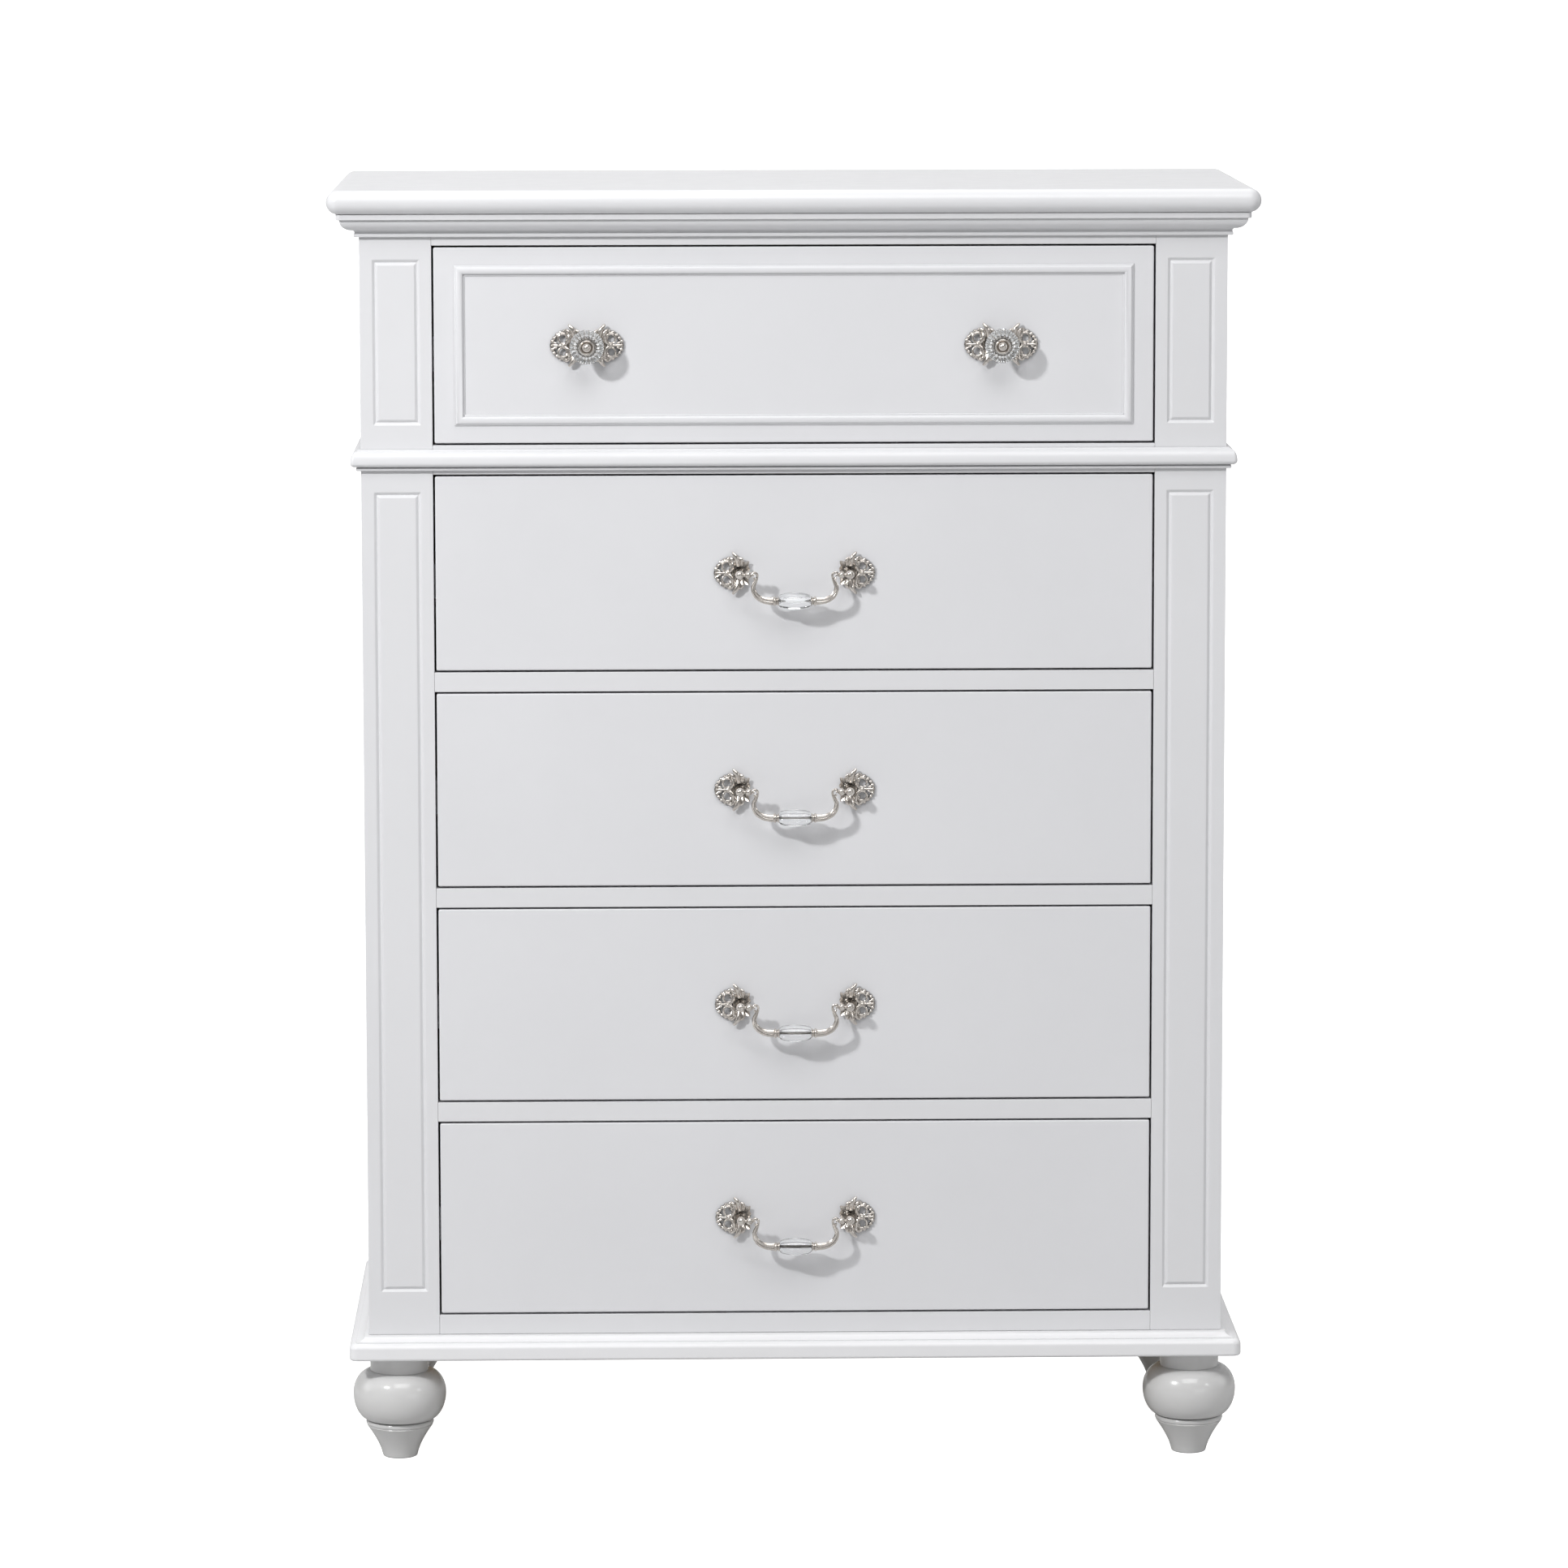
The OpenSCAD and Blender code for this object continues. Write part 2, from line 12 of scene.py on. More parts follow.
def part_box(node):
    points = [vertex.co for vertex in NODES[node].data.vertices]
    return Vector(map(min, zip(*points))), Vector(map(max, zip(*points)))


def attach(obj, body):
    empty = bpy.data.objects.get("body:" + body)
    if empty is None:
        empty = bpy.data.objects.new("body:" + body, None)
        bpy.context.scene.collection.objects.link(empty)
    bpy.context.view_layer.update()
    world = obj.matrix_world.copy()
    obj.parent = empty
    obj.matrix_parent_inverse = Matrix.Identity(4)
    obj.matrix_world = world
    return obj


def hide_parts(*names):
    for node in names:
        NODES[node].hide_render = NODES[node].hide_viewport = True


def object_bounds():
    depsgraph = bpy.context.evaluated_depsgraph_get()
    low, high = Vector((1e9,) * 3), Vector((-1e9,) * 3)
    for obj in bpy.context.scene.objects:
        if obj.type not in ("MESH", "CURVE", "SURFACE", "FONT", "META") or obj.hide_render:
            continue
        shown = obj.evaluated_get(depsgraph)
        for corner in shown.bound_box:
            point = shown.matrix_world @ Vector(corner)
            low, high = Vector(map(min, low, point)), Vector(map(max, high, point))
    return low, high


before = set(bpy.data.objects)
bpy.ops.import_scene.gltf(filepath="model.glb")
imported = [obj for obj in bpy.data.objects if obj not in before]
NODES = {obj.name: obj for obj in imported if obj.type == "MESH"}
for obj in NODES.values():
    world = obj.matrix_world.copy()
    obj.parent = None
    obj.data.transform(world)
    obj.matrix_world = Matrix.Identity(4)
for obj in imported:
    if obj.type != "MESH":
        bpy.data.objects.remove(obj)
CAD_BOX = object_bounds()
MM = 0.001
TAU = 2 * math.pi
ROOT = "carcass"
LOWER_DRAWERS = (2, 3, 4, 5)


def size_mm(node):
    """Lowest and highest corners of a CAD node, in millimetres."""
    low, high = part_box(node)
    return low / MM, high / MM


# Places that the frame gives, in millimetres.
HALF_W = size_mm("right_stile")[1].x
FACE_Y = size_mm("right_stile")[0].y
BACK_Y = size_mm("right_side_panel")[1].y


# ---------- Materials ----------

def new_material(name):
    """A node material and a helper that adds and joins nodes."""
    mat = bpy.data.materials.new(name)
    mat.use_nodes = True
    tree = mat.node_tree
    shader = tree.nodes["Principled BSDF"]

    def add(kind, **settings):
        node = tree.nodes.new("ShaderNode" + kind)
        for key, value in settings.items():
            if key in node.inputs:
                node.inputs[key].default_value = value
            else:
                setattr(node, key, value)
        return node

    def join(source, target):
        tree.links.new(source, target)

    return mat, shader, add, join


def ramp(add, join, source, stops):
    """A colour ramp on a value: stops are (position, grey or colour)."""
    node = add("ValToRGB")
    elements = node.color_ramp.elements
    for element, (place, shade) in zip(elements, (stops[0], stops[-1])):
        element.position = place
        element.color = as_colour(shade)
    for place, shade in stops[1:-1]:
        elements.new(place).color = as_colour(shade)
    join(source, node.inputs["Fac"])
    return node.outputs["Color"]


def as_colour(shade):
    """A grey or an RGB triple as RGBA."""
    return (*shade, 1.0) if isinstance(shade, tuple) else (shade, shade, shade, 1.0)


def object_noise(add, join, scale, detail=3.0, stretch=(1, 1, 1), roughness=0.5):
    """Noise in the object's own metres, stretched along an axis where asked."""
    place = add("TexCoord")
    mapping = add("Mapping", Scale=stretch)
    noise = add("TexNoise", Scale=scale, Detail=detail, Roughness=roughness)
    join(place.outputs["Object"], mapping.inputs["Vector"])
    join(mapping.outputs["Vector"], noise.inputs["Vector"])
    return noise.outputs["Fac"]


def multiply(add, join, a, b):
    """One colour multiplied by another."""
    mix = add("Mix", data_type="RGBA", blend_type="MULTIPLY")
    mix.inputs["Factor"].default_value = 1.0
    join(a, mix.inputs[6])
    join(b, mix.inputs[7])
    return mix.outputs[2]


def crevice_shade(add, join, distance, dark):
    """Painted shade from ambient occlusion: white in the open, "dark" down in quirks, grooves and cast
    recesses.
    """
    shade = add("AmbientOcclusion", samples=6, Distance=distance)
    return ramp(add, join, shade.outputs["AO"], [(0.15, dark), (0.8, 1.0)])


def bump(add, join, shader, height, strength, distance):
    """Fine surface relief from a height value; distance is in metres."""
    node = add("Bump", Strength=strength, Distance=distance)
    join(height, node.inputs["Height"])
    join(node.outputs["Normal"], shader.inputs["Normal"])
    return node


def painted_wood(name, base, rough):
    """White satin lacquer over primed wood: faint tone drift, spray texture, and painted shade darkening its
    quirks.
    """
    mat, shader, add, join = new_material(name)
    drift = object_noise(add, join, 5.0, 4.0)
    tone = ramp(add, join, drift, [(0.3, tuple(c * 0.975 for c in base)), (0.7, base)])
    # The base colour is multiplied by painted shade in quirks and grooves.
    join(multiply(add, join, tone, crevice_shade(add, join, 0.002, 0.45)), shader.inputs["Base Color"])
    sheen = object_noise(add, join, 38.0, 5.0)
    join(ramp(add, join, sheen, [(0.3, rough - 0.05), (0.7, rough + 0.06)]), shader.inputs["Roughness"])
    spray = object_noise(add, join, 520.0, 2.0)
    bump(add, join, shader, spray, 0.06, 0.0002)
    shader.inputs["Coat Weight"].default_value = 0.2
    shader.inputs["Coat Roughness"].default_value = 0.26
    return mat


def grain(add, join, scale, detail, roughness=0.5):
    """Noise drawn out along Y, or along X on faces that look along Y."""
    long_y = object_noise(add, join, scale, detail, (1.0, 0.06, 1.0), roughness)
    long_x = object_noise(add, join, scale, detail, (0.06, 1.0, 1.0), roughness)
    facing = add("SeparateXYZ")
    join(add("TexCoord").outputs["Normal"], facing.inputs["Vector"])
    size = add("Math", operation="ABSOLUTE")
    join(facing.outputs["Y"], size.inputs[0])
    across = add("Math", operation="GREATER_THAN")
    across.inputs[1].default_value = 0.7
    join(size.outputs[0], across.inputs[0])
    pick = add("Mix", data_type="FLOAT")
    join(across.outputs[0], pick.inputs[0])
    join(long_y, pick.inputs[2])
    join(long_x, pick.inputs[3])
    return pick.outputs[0]


def raw_wood(name, light, dark):
    """Sealed bare wood: growth bands with fine fibres over them."""
    mat, shader, add, join = new_material(name)
    bands = grain(add, join, 60.0, 6.0, 0.6)
    fibres = grain(add, join, 700.0, 2.0)
    tone = ramp(add, join, bands, [(0.32, dark), (0.5, light), (0.68, tuple(c * 0.9 for c in light))])
    fine = ramp(add, join, fibres, [(0.35, 0.84), (0.6, 1.0)])
    join(multiply(add, join, tone, fine), shader.inputs["Base Color"])
    join(ramp(add, join, bands, [(0.3, 0.5), (0.7, 0.62)]), shader.inputs["Roughness"])
    bump(add, join, shader, fibres, 0.15, 0.0002)
    return mat


def cast_nickel(name, recess, ground=None):
    """Polished nickel casting with dark antiquing and painted shade in its recesses.

    "recess" is the tone of tight corners, antiquing and painted shade together; the tone given after it is
    warm-tinted painted shade on metal close to the drawer front.
    """
    mat, shader, add, join = new_material(name)
    wear = object_noise(add, join, 240.0, 4.0)
    tone = ramp(add, join, wear, [(0.3, (0.63, 0.583, 0.54)), (0.7, (0.84, 0.795, 0.745))])
    # Recesses darken: real antiquing and painted shade together.
    tone = multiply(add, join, tone, crevice_shade(add, join, 0.005, recess))
    # Painted shade, warm-tinted: metal within a few millimetres of the drawer front darkens, most at the
    # face.
    if ground:
        place = add("TexCoord")
        split = add("SeparateXYZ")
        join(place.outputs["Object"], split.inputs["Vector"])
        height = add("MapRange")
        height.inputs["From Min"].default_value = (FACE_Y - 0.8) * MM
        height.inputs["From Max"].default_value = (FACE_Y - 4.6) * MM
        join(split.outputs["Y"], height.inputs["Value"])
        warm_shade = tuple(ground * c for c in (1.0, 0.86, 0.76))
        half = tuple(0.25 + 0.5 * c for c in warm_shade)
        ground_shade_ramp = ramp(add, join, height.outputs["Result"], [(0.0, warm_shade), (0.35, half), (0.7, 1.0)])
        tone = multiply(add, join, tone, ground_shade_ramp)
    join(tone, shader.inputs["Base Color"])
    join(ramp(add, join, wear, [(0.3, 0.27), (0.7, 0.14)]), shader.inputs["Roughness"])
    pits = object_noise(add, join, 900.0, 2.0)
    bump(add, join, shader, pits, 0.10, 0.0002)
    shader.inputs["Metallic"].default_value = 1.0
    return mat


def zinc_steel():
    """Zinc plated slide steel, brushed along its length."""
    mat, shader, add, join = new_material("zinc_steel")
    brush = object_noise(add, join, 500.0, 3.0, (1.0, 0.04, 1.0))
    tone = ramp(add, join, brush, [(0.3, (0.50, 0.52, 0.55)), (0.7, (0.68, 0.70, 0.72))])
    join(tone, shader.inputs["Base Color"])
    join(ramp(add, join, brush, [(0.3, 0.42), (0.7, 0.28)]), shader.inputs["Roughness"])
    bump(add, join, shader, brush, 0.12, 0.0001)
    shader.inputs["Metallic"].default_value = 1.0
    return mat


def clear_glass(name, clarity):
    """Cut glass with a faint cool tint and polishing haze; clarity is how much light passes through."""
    mat, shader, add, join = new_material(name)
    haze = object_noise(add, join, 160.0, 3.0)
    tint = ramp(add, join, haze, [(0.3, (0.97, 0.99, 1.0)), (0.7, (1.0, 1.0, 1.0))])
    join(tint, shader.inputs["Base Color"])
    join(ramp(add, join, haze, [(0.4, 0.0), (0.8, 0.03)]), shader.inputs["Roughness"])
    shader.inputs["Transmission Weight"].default_value = clarity
    shader.inputs["IOR"].default_value = 1.5
    return mat


# On wide faces the second number, the roughness, stays at 0.33 or more: with less, the denoiser leaves
# smudges on the drawer fronts where the sheen is smoothest.
PAINT = painted_wood("white_paint", (0.755, 0.757, 0.775), 0.34)
FRONT_PAINT = painted_wood("drawer_front_paint", (0.755, 0.757, 0.778), 0.34)
# Painted shade: the feet take a darker, greyer copy of the white paint.
SHADED_FOOT_PAINT = painted_wood("foot_paint_painted_shade", (0.67, 0.668, 0.665), 0.16)
# Painted light: the base moulding takes a lighter copy of the white paint.
LIT_BASE_PAINT = painted_wood("base_paint_painted_light", (0.85, 0.85, 0.865), 0.34)
WOOD = raw_wood("drawer_box_wood", (0.70, 0.53, 0.34), (0.56, 0.40, 0.24))
PLY = raw_wood("plywood", (0.76, 0.62, 0.44), (0.66, 0.52, 0.36))
NICKEL = cast_nickel("antique_nickel", 0.25)
# The plates also take warm-tinted painted shade close to the drawer front, deeper on the pulls than on the
# knob.
PULL_PLATE_NICKEL = cast_nickel("antique_nickel_pull_plate", 0.30, 0.09)
KNOB_PLATE_NICKEL = cast_nickel("antique_nickel_knob_plate", 0.30, 0.14)
# The knob's button, seat and nut: the same nickel with only faint antiquing and painted shade in its
# recesses.
FAINT_SHADE_NICKEL = cast_nickel("nickel_faint_recess_shade", 0.8)
ZINC = zinc_steel()
CRYSTAL = clear_glass("clear_crystal", 1.0)
PRESSED_GLASS = clear_glass("pressed_glass", 0.98)


# ---------- Mesh helpers ----------

def arc(cx, cy, rx, ry, start, stop, steps):
    """Points on an ellipse's arc, angles in degrees."""
    turns = [math.radians(start + (stop - start) * i / steps) for i in range(steps + 1)]
    return [(cx + rx * math.cos(a), cy + ry * math.sin(a)) for a in turns]


def skin(rings, closed=True, ends=True):
    """Faces between rings of equal length; closed rings wrap round, and ends fills the first and last."""
    count = len(rings[0])
    verts = [point for ring in rings for point in ring]
    faces = []
    for r in range(len(rings) - 1):
        for i in range(count if closed else count - 1):
            j = (i + 1) % count
            a, b = r * count, (r + 1) * count
            faces.append((a + i, a + j, b + j, b + i))
    if ends:
        last = (len(rings) - 1) * count
        faces.append(tuple(reversed(range(count))))
        faces.append(tuple(last + i for i in range(count)))
    return verts, faces


def gather(*parts):
    """Several (verts, faces) shells as one."""
    verts, faces = [], []
    for part_verts, part_faces in parts:
        shift = len(verts)
        verts.extend(part_verts)
        faces.extend(tuple(i + shift for i in face) for face in part_faces)
    return verts, faces


def build_mesh(name, shell, move=(0, 0, 0), sharp=34):
    """A clean mesh in metres from a shell in millimetres; edges sharper than "sharp" degrees stay hard."""
    verts, faces = shell
    placed = [((x + move[0]) * MM, (y + move[1]) * MM, (z + move[2]) * MM) for x, y, z in verts]
    mesh = bpy.data.meshes.new(name)
    mesh.from_pydata(placed, [], faces)
    tidy = bmesh.new()
    tidy.from_mesh(mesh)
    bmesh.ops.remove_doubles(tidy, verts=tidy.verts, dist=2e-6)
    bmesh.ops.dissolve_degenerate(tidy, edges=tidy.edges, dist=1e-6)
    bmesh.ops.recalc_face_normals(tidy, faces=tidy.faces)
    tidy.to_mesh(mesh)
    tidy.free()
    mesh.shade_smooth()
    mesh.set_sharp_from_angle(angle=math.radians(sharp))
    return mesh


def even_normals(piece):
    """Lets wide flat faces set the shading, so that they stay flat beside their rounded edges."""
    even = piece.modifiers.new("even", "WEIGHTED_NORMAL")
    even.keep_sharp = True


def add_piece(name, mesh, material, body, replaced=()):
    """A mesh as a piece that rides on a body and stands for CAD nodes."""
    piece = bpy.data.objects.new(name, mesh)
    bpy.context.scene.collection.objects.link(piece)
    mesh.materials.clear()
    mesh.materials.append(material)
    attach(piece, body)
    if replaced:
        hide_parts(*replaced)
    even_normals(piece)
    return piece


def lathe(outline, centre=(0, 0, 0), axis="Z", steps=64, radius=None):
    """Turns (radius, height) points about an axis through centre. radius(r, angle) may shape it."""
    rings = []
    for k in range(steps):
        angle = TAU * k / steps
        ring = []
        for r, h in outline:
            reach = radius(r, angle) if radius else r
            u, v = reach * math.cos(angle), reach * math.sin(angle)
            point = {"Z": (u, v, h), "X": (h, u, v), "-Y": (u, -h, v)}[axis]
            ring.append(tuple(c + p for c, p in zip(centre, point)))
        rings.append(ring)
    verts = [point for ring in rings for point in ring]
    count = len(outline)
    faces = []
    for k in range(steps):
        a, b = k * count, (k + 1) % steps * count
        for i in range(count - 1):
            faces.append((a + i, a + i + 1, b + i + 1, b + i))
    if outline[0][0] > 1e-6 and outline[0] != outline[-1]:
        faces.append(tuple(k * count for k in range(steps)))
    if outline[-1][0] > 1e-6 and outline[0] != outline[-1]:
        faces.append(tuple(k * count + count - 1 for k in range(steps)))
    return verts, faces


def tube(points, radii, sides=14, groove=0.0, flutes=0):
    """A round bar along a line of points, with its own radius at each; flutes cut grooves along it."""
    points = [Vector(p) for p in points]
    side = None
    rings = []
    for i, point in enumerate(points):
        ahead = points[min(i + 1, len(points) - 1)] - points[max(i - 1, 0)]
        ahead.normalize()
        if side is None:
            side = ahead.orthogonal().normalized()
        side = (side - ahead * side.dot(ahead)).normalized()
        up = ahead.cross(side)
        ring = []
        for k in range(sides):
            angle = TAU * k / sides
            reach = radii[i] * (1 - groove * (0.5 + 0.5 * math.cos(flutes * angle))) if flutes else radii[i]
            ring.append(tuple(point + (side * math.cos(angle) + up * math.sin(angle)) * reach))
        rings.append(ring)
    return skin(rings)


def curve_points(anchors, steps):
    """A smooth line through anchors (Catmull-Rom)."""
    ends = [anchors[0]] + list(anchors) + [anchors[-1]]
    line = []
    for i in range(1, len(ends) - 2):
        p = [Vector(q) for q in ends[i - 1:i + 3]]
        for s in range(steps):
            t = s / steps
            line.append(0.5 * (2 * p[1] + (p[2] - p[0]) * t + (2 * p[0] - 5 * p[1] + 4 * p[2] - p[3]) * t * t
                               + (3 * p[1] - p[0] - 3 * p[2] + p[3]) * t ** 3))
    line.append(Vector(anchors[-1]))
    return line


def ball(centre, r, steps=24):
    """A closed sphere with exact poles."""
    turns = [math.pi * i / steps for i in range(steps + 1)]
    outline = [(r * math.sin(a), -r * math.cos(a)) for a in turns]
    outline[0], outline[-1] = (0.0, -r), (0.0, r)
    return lathe(outline, centre, "-Y", steps * 2)


# ---------- Case ----------

def wrap(outline, reach, corner, closed=True, steps=10):
    """An outline of (stand-out, height) carried round the left, front and right of the case.

    The outermost points turn the front corners on radius "corner", and those further in turn tighter.
    """
    def turn(side, stage):
        ring = []
        for out, z in outline:
            r = max(out - (reach - corner), 0.3)
            angle = math.radians(90 * stage)
            x = HALF_W + out - r + r * math.cos(angle)
            y = FACE_Y - out + r - r * math.sin(angle)
            ring.append((side * x, y, z))
        return ring

    left = [turn(-1, i / steps) for i in range(steps + 1)]
    right = [turn(1, 1 - i / steps) for i in range(steps + 1)]
    start = [(-HALF_W - out, BACK_Y, z) for out, z in outline]
    stop = [(HALF_W + out, BACK_Y, z) for out, z in outline]
    return skin([start, *left, *right, stop], closed, closed)


def moulding(node, outline, reach, corner):
    """A painted moulding that stands for a CAD node."""
    mesh = build_mesh(node, wrap(outline, reach, corner), sharp=30)
    add_piece(node + "_run", mesh, PAINT, ROOT, (node,))


def crown(low, high):
    """Crown: a small bead, a quirk, a cove and a square lip under the top board."""
    reach, under, top = -low.x - HALF_W, low.z, high.z
    quirk, fillet = under + 5.6, top - 6
    outline = [(0, under), (4.2, under), *arc(4.2, under + 2, 0.8, 2, -80, 80, 8)]
    outline += [(4.2, under + 4), (4.2, quirk)]
    outline += arc(5.6, fillet, 13.4, fillet - quirk - 1.4, -90, 0, 24)
    outline += [(19.0, fillet), (reach - 0.6, fillet), (reach, fillet + 0.6)]
    outline += [(reach, top - 0.1), (0, top - 0.1)]
    moulding("crown_moulding", outline, reach, 5)


def waist(low, high):
    """Waist: a small bead below a torus that falls back to the case."""
    reach, under, top = -low.x - HALF_W, low.z, high.z
    outline = [(0, under), (3.6, under), *arc(3.6, under + 1.7, 1.4, 1.7, -90, 90, 12)]
    outline += [(4.6, under + 4.0), *arc(6, under + 8.2, reach - 6, 4, -90, 0, 12)]
    outline += arc(4, under + 8.2, reach - 4, top - under - 9.8, 4, 86, 20)
    outline += [(3.5, top - 1.2), (3.1, top - 0.1), (2.8, top), (0, top)]
    moulding("waist_moulding", outline, reach, 4)


def base(low, high):
    """Base: a rounded face with a cove over it on three sides, and a plain length across the back."""
    reach, under, top = -low.x - HALF_W, low.z, high.z
    inner = -14
    outline = [(inner, under), *arc(reach - 3, under + 3, 3, 3, -90, 0, 10)]
    outline += arc(reach - 6, top - 12, 6, 5.6, 4, 84, 16)
    outline += [(13, top - 6.2), *arc(13, top, 8.8, 5.4, -90, -180, 16), (4.0, top), (inner, top)]
    front = build_mesh("base_run", wrap(outline, reach, 9), sharp=30)
    add_piece("base_moulding_run", front, LIT_BASE_PAINT, ROOT, ("base_moulding",))
    x, y = HALF_W + inner - 0.2, (BACK_Y + inner, BACK_Y)
    length = box_shell((-x, y[0], under), (x, y[1], top), 0.8)
    add_piece("base_back_length", build_mesh("base_back", length), LIT_BASE_PAINT, ROOT)


def box_shell(low, high, ease):
    """A board with its long edges eased: a chamfered box from two rounded outlines."""
    rings = []
    for inset, z in ((ease, low[2]), (0, low[2] + ease), (0, high[2] - ease), (ease, high[2])):
        x0, x1, y0, y1 = low[0] + inset, high[0] - inset, low[1] + inset, high[1] - inset
        c = ease
        rings.append([(x0 + c, y0, z), (x1 - c, y0, z), (x1, y0 + c, z), (x1, y1 - c, z),
                      (x1 - c, y1, z), (x0 + c, y1, z), (x0, y1 - c, z), (x0, y0 + c, z)])
    return skin(rings)


def top_board(low, high):
    """Flat board with a half round edge on three sides, the back edge square."""
    r = (high.z - low.z) / 2
    reach = high.x - HALF_W
    outline = arc(reach - r, low.z + r, r, r, -90, 90, 24)
    verts, faces = wrap(outline, reach, r + 0.5, closed=False)
    count = len(outline)
    stations = len(verts) // count
    faces.append(tuple(s * count for s in range(stations)))
    faces.append(tuple(s * count + count - 1 for s in reversed(range(stations))))
    last = (stations - 1) * count
    faces.append(tuple(reversed(range(count))) + tuple(last + i for i in range(count)))
    mesh = build_mesh("top_board", (verts, faces), sharp=40)
    add_piece("top_board", mesh, PAINT, ROOT, ("top_panel",))


def foot_outline(height):
    """Turned foot: toe, hollow taper, collar, bulb and neck."""
    toe, collar_z, collar_r, bulb_z, neck = 18.0, 33.0, 35.0, 67.0, 30.3
    taper = [(toe + (collar_r - 1 - toe) * (i / 20) ** 1.5, collar_z * i / 20) for i in range(2, 21)]
    return [(0, 0), *arc(toe - 1.6, 1.6, 1.6, 1.6, -90, 0, 5), *taper,
            *arc(collar_r - 3, 36.4, 3, 3, -60, 80, 12), (31.2, 39.7),
            *arc(neck, bulb_z, 17.7, bulb_z - 39, -72, 0, 24), *arc(neck, bulb_z, 17.7, 24, 4, 80, 24),
            (neck, bulb_z + 24), (neck, height), (0, height)]


def feet():
    """The four turned feet, each on its own CAD foot's centre line."""
    for name in ("front_left_foot", "front_right_foot", "rear_left_foot", "rear_right_foot"):
        low, high = size_mm(name)
        centre = ((low.x + high.x) / 2, (low.y + high.y) / 2, 0)
        shell = lathe(foot_outline(high.z - 0.1), centre, "Z", 96)
        mesh = build_mesh(name, shell, sharp=32)
        add_piece(name + "_turned", mesh, SHADED_FOOT_PAINT, ROOT, (name,))


# ---------- Hardware ----------

# Curved claws of a rosette: points (out, towards the back, up) in millimetres, and each claw's radius.
CLAWS = (
    ([(1.0, -2.6, 7.5), (1.6, -4.4, 12.5), (3.2, -5.2, 16.8), (6.2, -4.6, 20.4)], 3.0),
    ([(4.6, -2.2, 8.5), (5.8, -3.6, 12.0), (7.6, -3.8, 14.6), (9.8, -3.0, 16.0)], 2.2),
    ([(-2.4, -2.4, 8.0), (-3.2, -4.2, 11.5), (-2.6, -4.8, 14.2), (-0.6, -4.2, 15.8)], 2.0),
)
CAST_VOXEL = 0.26  # Grain of the fused casting, in millimetres.
CAST_TRIANGLES = 18000
STUD_END = 4.0  # How far a stud's end stands behind the face its nut sits on.
PIN_PAST_POST = 0.4  # How far a bail's pin ends past the post's centre line.
KNOB_RAYS = 20


def dish():
    """Hollow star-shaped leaf behind the post, its rim drawn out into four points."""
    rim = [(0, 7.6), (30, 8.0), (58, 10.5), (76, 11.6), (92, 9.8), (110, 11.6), (130, 16.2), (142, 11.6),
           (160, 11.8), (180, 9.0)]
    steps, rings = 96, []

    def reach(angle):
        turn = abs((math.degrees(angle) + 180) % 360 - 180)
        for (a0, r0), (a1, r1) in zip(rim, rim[1:]):
            if turn <= a1:
                return r0 + (r1 - r0) * (turn - a0) / (a1 - a0)
        return rim[-1][1]

    for side, fractions in ((0, (0.04, 0.25, 0.5, 0.7, 0.85, 1.0)), (1.1, (1.0, 0.85, 0.7, 0.5, 0.25, 0.04))):
        for f in fractions:
            ring = []
            for k in range(steps):
                angle = TAU * k / steps
                r = f * reach(angle) - side * 0.4
                depth = 1.3 + 3.3 * f ** 2.6 - side
                ring.append((r * math.cos(angle), -max(depth, 0.0), r * math.sin(angle)))
            rings.append(ring)
    return skin(rings)


def scroll(side):
    """One C scroll of a rosette: a band that thins as it curls in to a small bead."""
    centre_u, centre_v = 12.8, 6.5 * side
    line, radii = [], []
    steps = 44
    for i in range(steps + 1):
        t = i / steps
        angle = math.radians(215 - 430 * t) * side
        reach = 5.6 - 1.7 * t
        u, v = centre_u + reach * math.cos(angle), centre_v + reach * math.sin(angle)
        line.append((u, -2.2 - 1.6 * math.sin(math.pi * t), v))
        radii.append(1.5 - 0.6 * t)
    return gather(tube(line, radii, 12), ball(line[-1], 1.6, 8))


def lobe(start, stop, r):
    """A plump bead drawn out from start to stop."""
    line = [tuple(a + (b - a) * t for a, b in zip(start, stop)) for t in (0, 0.15, 0.35, 0.6, 0.8, 0.94, 1.0)]
    return tube(line, [r * w for w in (0.55, 0.8, 0.95, 1.0, 0.85, 0.55, 0.15)], 12)


